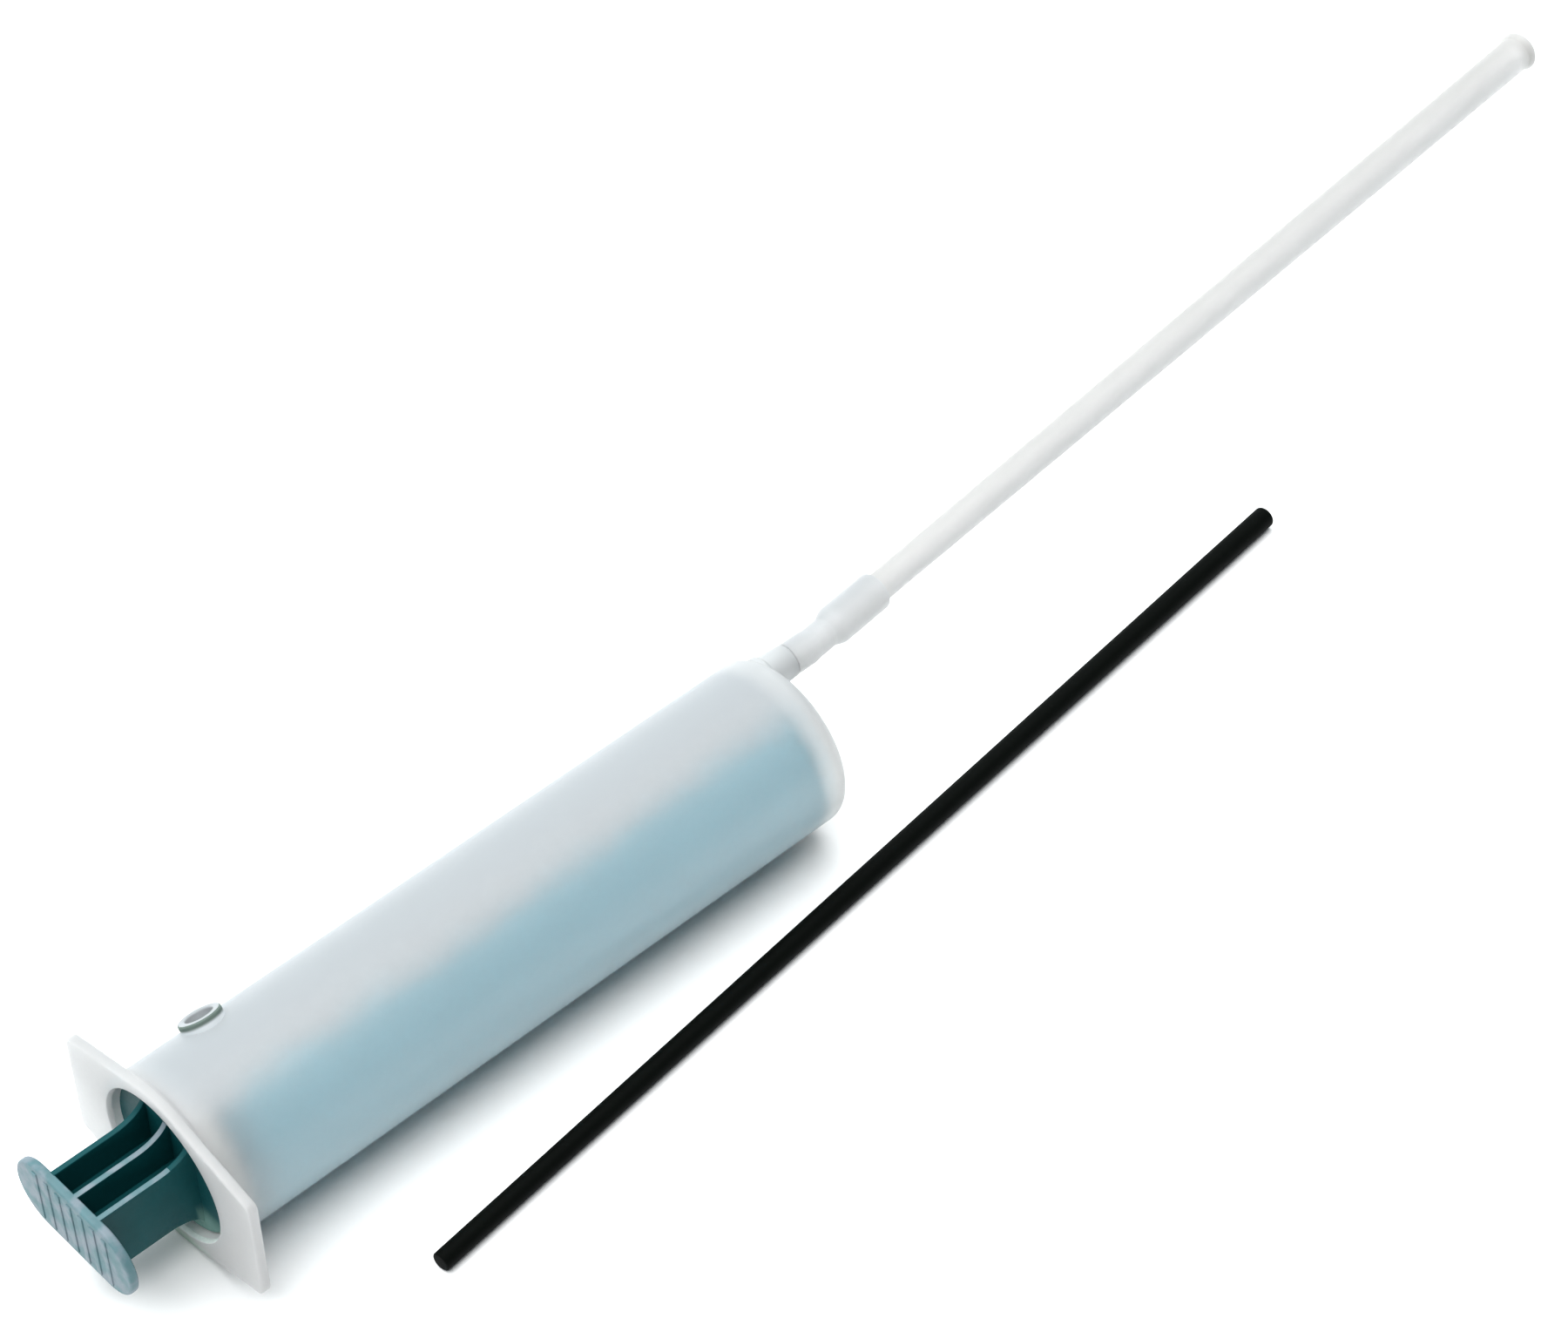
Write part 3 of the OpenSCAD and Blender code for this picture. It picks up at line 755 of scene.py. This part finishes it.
def ridge_tree():
    """Repeats a grip ridge along the pad, each as long as the oval leaves room for."""
    tree, entry = new_tree("Ridges", ("Count",), ("Pitch", "Straight", "Half width"), ("Middle",))
    row = centred_row(tree, entry["Count"], entry["Pitch"], entry["Middle"])
    spot = add(tree, "GeometryNodeInputPosition")
    beside = add(tree, "ShaderNodeVectorMath", links={0: spot.outputs[0], 1: entry["Middle"]},
                 operation="SUBTRACT")
    parts = add(tree, "ShaderNodeSeparateXYZ", links={0: beside.outputs[0]})
    away = add(tree, "ShaderNodeMath", links={0: parts.outputs["Y"]}, operation="ABSOLUTE")
    past = add(tree, "ShaderNodeMath", links={0: away.outputs[0], 1: entry["Straight"]},
               operation="SUBTRACT")
    real = add(tree, "ShaderNodeMath", {1: 0.0}, {0: past.outputs[0]}, operation="MAXIMUM")
    share = add(tree, "ShaderNodeMath", links={0: real.outputs[0], 1: entry["Half width"]},
                operation="DIVIDE")
    square = add(tree, "ShaderNodeMath", {1: 2.0}, {0: share.outputs[0]}, operation="POWER")
    rest = add(tree, "ShaderNodeMath", {0: 1.0}, {1: square.outputs[0]}, operation="SUBTRACT")
    scale = add(tree, "ShaderNodeMath", links={0: rest.outputs[0]}, operation="SQRT")
    size = add(tree, "ShaderNodeCombineXYZ", {"X": 1.0, "Y": 1.0}, {"Z": scale.outputs[0]})
    copies = add(tree, "GeometryNodeInstanceOnPoints", links={
        "Points": row, "Scale": size.outputs[0], "Instance": entry["Geometry"]})
    return close_tree(tree, entry, copies.outputs[0])


def hose_tree():
    """Sweeps an even-walled hose along a path: a cuff, a slim stretch, a smooth step, a wide stretch."""
    tree, entry = new_tree("Stepped hose", ("Sides",), (
        "Cuff", "Slim", "Wide", "Wall", "Cuff end", "Slim start", "Step start", "Step end"))
    along = add(tree, "GeometryNodeSplineParameter").outputs["Length"]
    first = add(tree, "ShaderNodeMapRange", links={
        "Value": along, "From Min": entry["Cuff end"], "From Max": entry["Slim start"],
        "To Min": entry["Cuff"], "To Max": entry["Slim"]}, interpolation_type="SMOOTHSTEP")
    growth = add(tree, "ShaderNodeMath", links={0: entry["Wide"], 1: entry["Slim"]}, operation="SUBTRACT")
    second = add(tree, "ShaderNodeMapRange", {"To Min": 0.0}, {
        "Value": along, "From Min": entry["Step start"], "From Max": entry["Step end"],
        "To Max": growth.outputs[0]}, interpolation_type="SMOOTHSTEP")
    outer = add(tree, "ShaderNodeMath", links={0: first.outputs[0], 1: second.outputs[0]},
                operation="ADD")
    inner = add(tree, "ShaderNodeMath", links={0: outer.outputs[0], 1: entry["Wall"]},
                operation="SUBTRACT")
    ring = add(tree, "GeometryNodeCurvePrimitiveCircle", {"Radius": 1.0}, {"Resolution": entry["Sides"]})
    sweep = add(tree, "GeometryNodeCurveToMesh", {"Fill Caps": False}, {
        "Curve": entry["Geometry"], "Profile Curve": ring.outputs[0], "Scale": inner.outputs[0]})
    return close_tree(tree, entry, thicken(tree, sweep.outputs[0], entry["Wall"]))


# Operators
class SYRINGE_OT_stage(bpy.types.Operator):
    """Sets the pale floor, the soft light and the camera"""
    bl_idname = "syringe.stage"
    bl_label = "Stage"

    def execute(self, context):
        sizes = context.scene.syringe_stage
        half = sizes.floor_size / 2
        shape = bmesh.new()
        shape.faces.new([shape.verts.new((x, y, -sizes.floor_drop)) for x, y in
                         ((-half, -half), (half, -half), (half, half), (-half, half))])
        floor = new_object("floor", shape)
        floor.data.materials.append(studio_paper(sizes.floor_tint))

        # The room is brighter on the barrel's far side, and the camera sees it evenly white
        world = bpy.data.worlds.new("pale room")
        world.use_nodes = True
        tree = world.node_tree
        room = tree.nodes["Background"]
        room.inputs["Color"].default_value = sizes.room_tint
        path = add(tree, "ShaderNodeLightPath")
        direction = add(tree, "ShaderNodeTexCoord")
        parts = add(tree, "ShaderNodeSeparateXYZ", links={0: direction.outputs["Generated"]})
        across = add(tree, "ShaderNodeMapRange", {
            "From Min": -ROOM_SPREAD, "From Max": ROOM_SPREAD,
            "To Min": sizes.room_dim, "To Max": sizes.room_bright},
            {"Value": parts.outputs["Y"]}, interpolation_type="SMOOTHSTEP")
        seen = add(tree, "ShaderNodeMapRange", {"To Max": 1.0},
                   {"Value": path.outputs["Is Camera Ray"], "To Min": across.outputs[0]})
        tree.links.new(seen.outputs[0], room.inputs["Strength"])
        context.scene.world = world

        light = bpy.data.lights.new("overhead light", "SUN")
        light.energy = sizes.key_strength
        light.angle = sizes.key_spread
        lamp = bpy.data.objects.new("overhead light", light)
        lamp.location = LAMP_PLACE
        lamp.rotation_mode = "QUATERNION"
        lamp.rotation_quaternion = (-lamp.location).to_track_quat("-Z", "Y")
        context.scene.collection.objects.link(lamp)

        lens = bpy.data.cameras.new("photo view")
        lens.lens, lens.sensor_width = LENS, SENSOR
        lens.clip_start, lens.clip_end = CLIP_NEAR, CLIP_FAR
        camera = bpy.data.objects.new("photo view", lens)
        turned = Matrix((CAMERA_RIGHT, CAMERA_UP, CAMERA_RIGHT.cross(CAMERA_UP))).transposed().to_4x4()
        camera.matrix_world = Matrix.Translation(CAMERA_PLACE) @ turned
        context.scene.collection.objects.link(camera)
        context.scene.camera = camera
        context.scene.view_settings.view_transform = "Standard"
        return {"FINISHED"}


def wing_outline(sizes):
    """The flange's outline: a rim round the barrel with a wing on each side."""
    rim = sizes.outer_radius + sizes.flange_rim
    reach = rim + sizes.wing_overhang - sizes.wing_rounding
    half = sizes.wing_half_width - sizes.wing_rounding
    points = circle(0, 0, rim, ROUND)
    for across in (-reach, reach):
        for along in (-half, half):
            points += circle(across, along, sizes.wing_rounding, CORNER_ROUND)
    return hull(points)


def nozzle_place(barrel, station):
    """A frame on the nozzle's axis, at a distance from the flange's rear face."""
    across = barrel.outer_radius - barrel.nozzle_inset
    return on_axis(station, across * math.cos(barrel.nozzle_angle),
                   across * math.sin(barrel.nozzle_angle))


class SYRINGE_OT_barrel(bpy.types.Operator):
    """Builds the frosted barrel with its flange, vent and nozzle"""
    bl_idname = "syringe.barrel"
    bl_label = "Barrel"

    def execute(self, context):
        sizes = context.scene.syringe_barrel
        outer, bore = sizes.outer_radius, sizes.outer_radius - sizes.wall
        wall = soften([
            (0, FILLET, 0), (outer + FILLET, FILLET, 0), (outer + FILLET, sizes.flange_thickness, 0),
            (outer, sizes.flange_thickness + FILLET, FILLET), (outer, sizes.reach, sizes.end_rounding),
            (0, sizes.reach, 0)], steps=10)
        barrel = revolve("barrel", spread(wall, STRETCH), on_axis(0))
        flange = slab("flange", wing_outline(sizes), 0, sizes.flange_thickness, FLANGE_EDGE, on_axis(0))

        # Vent: a raised ring and its hole
        out = Vector((0, math.cos(sizes.vent_angle), math.sin(sizes.vent_angle)))
        vent_frame = facing(on_axis(sizes.vent_place).translation, out, (1, 0, 0))
        foot, top = outer - ROOT, outer + sizes.vent_rise
        below, above = foot - 2 * ROOT, top + OVERRUN
        ring = revolve("vent ring", soften([
            (0, foot, 0), (sizes.vent_ring + SOFT, foot, 0), (sizes.vent_ring, outer + FINE, FULL),
            (sizes.vent_ring, top, EDGE), (0, top, 0)]), vent_frame, SMALL_ROUND)
        hole = revolve("vent hole", soften([
            (0, below, 0), (sizes.vent_hole, below, 0), (sizes.vent_hole, top - SLIVER, SOFT),
            (sizes.vent_hole + ROOT, above, 0), (0, above, 0)]), vent_frame, SMALL_ROUND)

        # Nozzle: a tapered collar, its spigot and the passage
        nozzle_frame = nozzle_place(sizes, sizes.reach)
        root, inner_face = sizes.collar_root, -sizes.end_thickness
        tip = sizes.collar_reach + sizes.spigot_reach
        nozzle = revolve("nozzle", soften([
            (0, -ROOT, 0), (root + EDGE, -ROOT, 0), (root + EDGE, 0, 0), (root - SLIVER, FULL, SOFT),
            (sizes.collar_tip, sizes.collar_reach, COLLAR_EDGE),
            (sizes.spigot, sizes.collar_reach, CRISP), (sizes.spigot, tip, FINE), (0, tip, 0)]),
            nozzle_frame, SMALL_ROUND)
        passage = revolve("passage", soften([
            (0, inner_face - OVERRUN, 0), (sizes.passage + FILLET, inner_face - OVERRUN, 0),
            (sizes.passage, inner_face + EDGE, EDGE), (sizes.passage, tip + OVERRUN, 0),
            (0, tip + OVERRUN, 0)]), nozzle_frame, SMALL_ROUND)

        # Bore, with a rounded mouth
        inner_end = sizes.reach - sizes.end_thickness
        hollow = revolve("bore", spread(soften([
            (0, -ROOT, 0), (bore + 2 * FILLET, -ROOT, 0), (bore + FINE, SLIVER, SOFT),
            (bore, 2 * SOFT, FILLET), (bore, inner_end, FULL), (0, inner_end, 0)]), STRETCH), on_axis(0))
        barrel = combine(barrel, [flange, ring, nozzle], "UNION")
        barrel = combine(barrel, [hollow, hole, passage], "DIFFERENCE")
        hand_over(barrel, frosted_polypropylene(sizes), "barrel", "barrel")

        # The bore's own finish with its painted cast, and painted shade low in the mouth and on the vent's
        # wall
        barrel.data.materials.append(bore_polypropylene(sizes))
        barrel.data.materials.append(painted_mouth_and_vent_shade(sizes, out))
        for face in barrel.data.polygons:
            station = face.center.x - REAR
            radius = math.hypot(face.center.y - AXIS_SIDE, face.center.z - AXIS_HEIGHT)
            low_side = face.center.z < AXIS_HEIGHT - sizes.mouth_shade_below
            beside = face.center - vent_frame.translation
            from_vent = (beside - out * beside.dot(out)).length
            on_ring = abs(from_vent - sizes.vent_ring) < SOFT and beside.dot(out) > foot
            if radius < bore + SLIVER and 2 * ROOT < station < inner_end - ROOT:
                face.material_index = 1
            elif low_side and radius < bore + SOFT and SLIVER < station < 3 * ROOT:
                face.material_index = 2
            elif on_ring and abs(face.normal.dot(out)) < 0.9:
                face.material_index = 2
        return {"FINISHED"}


class SYRINGE_OT_seal(bpy.types.Operator):
    """Builds the soft seal on the plunger's front"""
    bl_idname = "syringe.seal"
    bl_label = "Piston seal"

    def execute(self, context):
        sizes = context.scene.syringe_seal
        plunger = context.scene.syringe_plunger
        bore = context.scene.syringe_barrel.outer_radius - context.scene.syringe_barrel.wall
        lip, waist = bore - sizes.lip_gap, bore - sizes.waist_depth
        neck, button = plunger.neck + sizes.button_gap, plunger.button + sizes.button_gap
        rear = seal_low.x - REAR
        front = rear + sizes.reach
        button_start = rear + plunger.neck_reach - SLIVER
        button_end = rear + plunger.neck_reach + plunger.button_thickness + SLIVER
        outside = [
            (neck, rear, 0), (lip, rear, SOFT), (lip, rear + sizes.lip, EDGE),
            (waist, rear + sizes.lip + FILLET, EDGE), (waist, front - sizes.lip - FILLET, EDGE),
            (lip, front - sizes.lip, EDGE), (lip, front, SOFT), (0.0, front + sizes.cone, 0)]
        inside = [(0.0, button_end, 0), (button, button_end, EDGE), (button, button_start, EDGE),
                  (neck, button_start, FINE), (neck, rear, 0)]
        profile = soften(outside) + soften(inside)[:-1]
        seal = revolve("piston_seal", profile, on_axis(0), closed=True)
        hand_over(seal, seal_rubber(sizes), "piston", "piston_seal")
        return {"FINISHED"}


def plate_sheet(sizes, half, top, head):
    """One flat plate from the pad to the head disc, with the flares behind the guide disc."""
    steps = 10
    upper = [(-sizes.handle - OVERRUN, half)]
    for turn in (math.pi / 2 * step / steps for step in range(steps + 1)):
        upper.append((sizes.disc_place - sizes.flare_reach * (1 - math.sin(turn)),
                      half + (top - half) * (1 - math.cos(turn))))
    upper += [(sizes.disc_place + ROOT, top), (sizes.disc_place + ROOT, half), (head + ROOT, half)]
    outline = upper + [(station, -height) for station, height in reversed(upper)]
    side = AXIS_SIDE + sizes.plate_thickness / 2
    shape = bmesh.new()
    shape.faces.new([shape.verts.new((REAR + station, side, AXIS_HEIGHT + height))
                     for station, height in outline])
    shape.normal_update()
    flat = shape.faces[:][0]
    if flat.normal.y > 0:
        flat.normal_flip()
    return new_object("plates", shape)


class SYRINGE_OT_plunger(bpy.types.Operator):
    """Builds the plunger: thumb pad with ridges, three long plates, guide disc, head disc and button"""
    bl_idname = "syringe.plunger"
    bl_label = "Plunger"

    def execute(self, context):
        sizes = context.scene.syringe_plunger
        bore = context.scene.syringe_barrel.outer_radius - context.scene.syringe_barrel.wall
        material = satin_polyethylene(sizes)
        rear = seal_low.x - REAR
        disc = bore - sizes.disc_gap
        head = rear - SLIVER - sizes.disc_thickness
        half = sizes.plate_depth / 2
        sheet = plate_sheet(sizes, half, disc - sizes.flare_inset, head)
        plates = bevel(grow(sheet, plate_tree(), {
            "Count": sizes.plate_count, "Spacing": sizes.plate_spacing,
            "Thickness": sizes.plate_thickness, "Material": material}), PLATE_EDGE)

        # Thumb pad and its grip ridges
        straight = sizes.pad_half_length - sizes.pad_half_width
        oval = hull(circle(-straight, 0, sizes.pad_half_width, ROUND)
                    + circle(straight, 0, sizes.pad_half_width, ROUND))
        pad_rear = -sizes.handle - sizes.pad_thickness
        pad = slab("plunger_rod", oval, pad_rear, -sizes.handle, PAD_EDGE, on_axis(0), steps=5)
        ridge_half = sizes.pad_half_width - sizes.ridge_width
        high, wide = sizes.ridge_rise, sizes.ridge_width / 2
        bar = soften([(-high, -wide, RIDGE_EDGE), (high, -wide, 0), (high, wide, 0),
                      (-high, wide, RIDGE_EDGE)], closed=True, steps=4)
        ridge = slab("ridges", bar, -ridge_half, ridge_half, RIDGE_EDGE, Matrix.Identity(4))
        ridges = grow(ridge, ridge_tree(), {
            "Count": sizes.ridge_count, "Pitch": sizes.ridge_pitch, "Straight": straight,
            "Half width": ridge_half, "Middle": on_axis(pad_rear).translation, "Material": material})

        # Web, discs, neck and button
        web_side, web_top = sizes.plate_spacing + sizes.plate_thickness / 4, sizes.web / 2
        web_corners = [Vector(corner) for corner in (
            (-web_side, -web_top), (web_side, -web_top), (web_side, web_top), (-web_side, web_top))]
        web = slab("web", web_corners, -sizes.handle - FILLET, head + FILLET, SLIVER, on_axis(0), steps=1)
        disc_front = sizes.disc_place + sizes.disc_thickness
        guide = revolve("guide", soften([
            (0, sizes.disc_place, 0), (disc, sizes.disc_place, SOFT), (disc, disc_front, SOFT),
            (0, disc_front, 0)]), on_axis(0))
        button_start = rear + sizes.neck_reach
        button_end = button_start + sizes.button_thickness
        front = revolve("front", soften([
            (0, head, 0), (disc, head, SOFT), (disc, head + sizes.disc_thickness, SOFT),
            (sizes.neck, head + sizes.disc_thickness, EDGE), (sizes.neck, button_start, FINE),
            (sizes.button, button_start, EDGE), (sizes.button, button_end, FILLET),
            (0, button_end, 0)]), on_axis(0))
        plunger = combine(pad, [web, plates, guide, front, ridges], "UNION")
        hand_over(plunger, material, "plunger", "plunger_rod")

        # The pad is paler, and the edges of the middle plate and of the plate next to the rod carry a painted
        # highlight
        plunger.data.materials.append(pale_pad_and_highlight_polyethylene(sizes))
        for face in plunger.data.polygons:
            station, height = face.center.x - REAR, abs(face.center.z - AXIS_HEIGHT)
            side = face.center.y - AXIS_SIDE
            middle = abs(side) < sizes.plate_spacing / 2
            stop = sizes.disc_place - FINE if middle else -sizes.highlight_stop
            on_highlit_edge = (abs(face.normal.y) < 0.5 and height > half - EDGE and station < stop
                       and side < sizes.plate_spacing / 2)
            if station < -sizes.handle - SLIVER or on_highlit_edge:
                face.material_index = 1
        return {"FINISHED"}


def bend_point(context):
    """The coupling's bend: the nozzle's axis, past the collar."""
    barrel, coupling = context.scene.syringe_barrel, context.scene.syringe_coupling
    station = barrel.reach + barrel.collar_reach + coupling.gap + coupling.rear
    return nozzle_place(barrel, station).translation


def tube_direction(context):
    """The tube's direction, level and turned away from the barrel's."""
    turn = context.scene.syringe_coupling.turn
    return Vector((math.cos(turn), math.sin(turn), 0))


def far_side(context):
    """The tube's brightest side, and how far that way its axis lies from the flange's rear centre."""
    turn = context.scene.syringe_coupling.turn
    way = Vector((-LEAN_ACROSS * math.sin(turn), LEAN_ACROSS * math.cos(turn), LEAN_UP))
    return way, way.dot(bend_point(context) - CENTRE)


class SYRINGE_OT_coupling(bpy.types.Operator):
    """Builds the soft coupling between the nozzle and the tube"""
    bl_idname = "syringe.coupling"
    bl_label = "Coupling"

    def execute(self, context):
        sizes = context.scene.syringe_coupling
        bend, ahead = bend_point(context), tube_direction(context)
        corners = [(0, 0, 0), (sizes.rear, 0, sizes.bend),
                   (sizes.rear + sizes.front * ahead.x, sizes.front * ahead.y, 0)]
        route = spread(soften(corners, steps=8), PATH_STRETCH)
        path = bpy.data.curves.new("coupling path", "CURVE")
        path.dimensions = "3D"
        spline = path.splines.new("POLY")
        spline.points.add(len(route) - 1)
        for knot, (along, side) in zip(spline.points, route):
            knot.co = (bend.x - sizes.rear + along, bend.y + side, bend.z, 1)
        material = soft_vinyl(sizes, *far_side(context))
        step = sizes.rear + sizes.step_place
        coupling = grow(new_object("coupling_sleeve", path), hose_tree(), {
            "Cuff": sizes.cuff, "Slim": sizes.slim, "Wide": sizes.wide, "Wall": sizes.wall,
            "Cuff end": sizes.rear - sizes.cuff_end, "Slim start": sizes.rear + sizes.slim_start,
            "Step start": step - EDGE, "Step end": step + sizes.step_reach + FILLET,
            "Sides": SMALL_ROUND, "Material": material})
        hand_over(bevel(coupling, FINE), material, "coupling", "coupling_sleeve")
        return {"FINISHED"}


class SYRINGE_OT_tube(bpy.types.Operator):
    """Builds the long milky tube with the lip at its free end"""
    bl_idname = "syringe.tube"
    bl_label = "Tube"

    def execute(self, context):
        sizes = context.scene.syringe_tube
        bend, ahead = bend_point(context), tube_direction(context)
        place = facing(bend + ahead * sizes.start, ahead, UP)
        rear, front, end = sizes.rear_radius, sizes.front_radius, sizes.reach
        inner_rear, inner_front = rear - sizes.wall, front - sizes.wall
        lip = front + sizes.lip_rise
        corners = [
            (inner_rear, 0, 0), (rear, 0, FINE), (rear, sizes.socket, sizes.taper),
            (front, end - sizes.lip_reach, FILLET), (lip, end - SOFT, EDGE), (lip - FINE, end, CRISP),
            (inner_front, end, EDGE), (inner_front, end - sizes.mouth, sizes.taper),
            (inner_rear, sizes.socket, sizes.taper), (inner_rear, 0, 0)]
        profile = spread(soften(corners), STRETCH)[:-1]
        tube = revolve("extension_tube", profile, place, SMALL_ROUND, closed=True)
        tip = ahead.dot(bend - CENTRE) + sizes.start + end
        material = milky_polyethylene(sizes, *far_side(context), ahead, tip)
        hand_over(tube, material, "tube", "extension_tube")
        return {"FINISHED"}


class SYRINGE_OT_rod(bpy.types.Operator):
    """Builds the loose black push rod"""
    bl_idname = "syringe.rod"
    bl_label = "Push rod"

    def execute(self, context):
        sizes = context.scene.syringe_rod
        low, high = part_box("push_rod")
        slim, thick, end = sizes.slim_radius, sizes.thick_radius, sizes.reach
        tilt = math.asin((thick - slim) / end)
        ahead = Vector((math.cos(tilt) * math.cos(sizes.turn), math.cos(tilt) * math.sin(sizes.turn),
                        math.sin(tilt)))
        centre = Vector(((low.x + high.x) / 2, (low.y + high.y) / 2, 0))
        start = centre - ahead * end / 2
        start.z = slim + sizes.straight * math.sin(tilt)
        corners = [(0, 0, 0), (slim, 0, sizes.edge), (slim, sizes.straight, 0),
                   (thick, end - sizes.straight, 0), (thick, end, sizes.edge), (0, end, 0)]
        profile = spread(soften(corners), STRETCH)
        rod = revolve("push_rod", profile, facing(start, ahead, UP), SMALL_ROUND)
        hand_over(rod, black_rod_plastic(sizes), "rod", "push_rod")
        return {"FINISHED"}


class SYRINGE_PT_panel(bpy.types.Panel):
    """Lists the pieces and their sizes"""
    bl_idname = "SYRINGE_PT_panel"
    bl_label = "Resin Syringe"
    bl_space_type = "VIEW_3D"
    bl_region_type = "UI"
    bl_category = "Syringe"

    def draw(self, context):
        for operator, (label, group) in zip(OPERATORS, SETTINGS.items()):
            box = self.layout.box()
            box.operator(operator.bl_idname)
            settings = getattr(context.scene, label)
            for name in group.__annotations__:
                box.prop(settings, name)


SETTINGS = {"syringe_stage": StageSettings, "syringe_barrel": BarrelSettings,
            "syringe_seal": SealSettings, "syringe_plunger": PlungerSettings,
            "syringe_coupling": CouplingSettings, "syringe_tube": TubeSettings,
            "syringe_rod": RodSettings}
OPERATORS = (SYRINGE_OT_stage, SYRINGE_OT_barrel, SYRINGE_OT_seal, SYRINGE_OT_plunger,
             SYRINGE_OT_coupling, SYRINGE_OT_tube, SYRINGE_OT_rod)
CLASSES = tuple(SETTINGS.values()) + OPERATORS + (SYRINGE_PT_panel,)


def register():
    for item in CLASSES:
        bpy.utils.register_class(item)
    for label, group in SETTINGS.items():
        setattr(bpy.types.Scene, label, PointerProperty(type=group))


def unregister():
    for label in SETTINGS:
        delattr(bpy.types.Scene, label)
    for item in reversed(CLASSES):
        bpy.utils.unregister_class(item)


def main():
    register()
    for operator in OPERATORS:
        family, name = operator.bl_idname.split(".")
        if getattr(getattr(bpy.ops, family), name)() != {"FINISHED"}:
            raise RuntimeError(f"{operator.bl_label} did not finish")


if __name__ == "__main__":
    main()
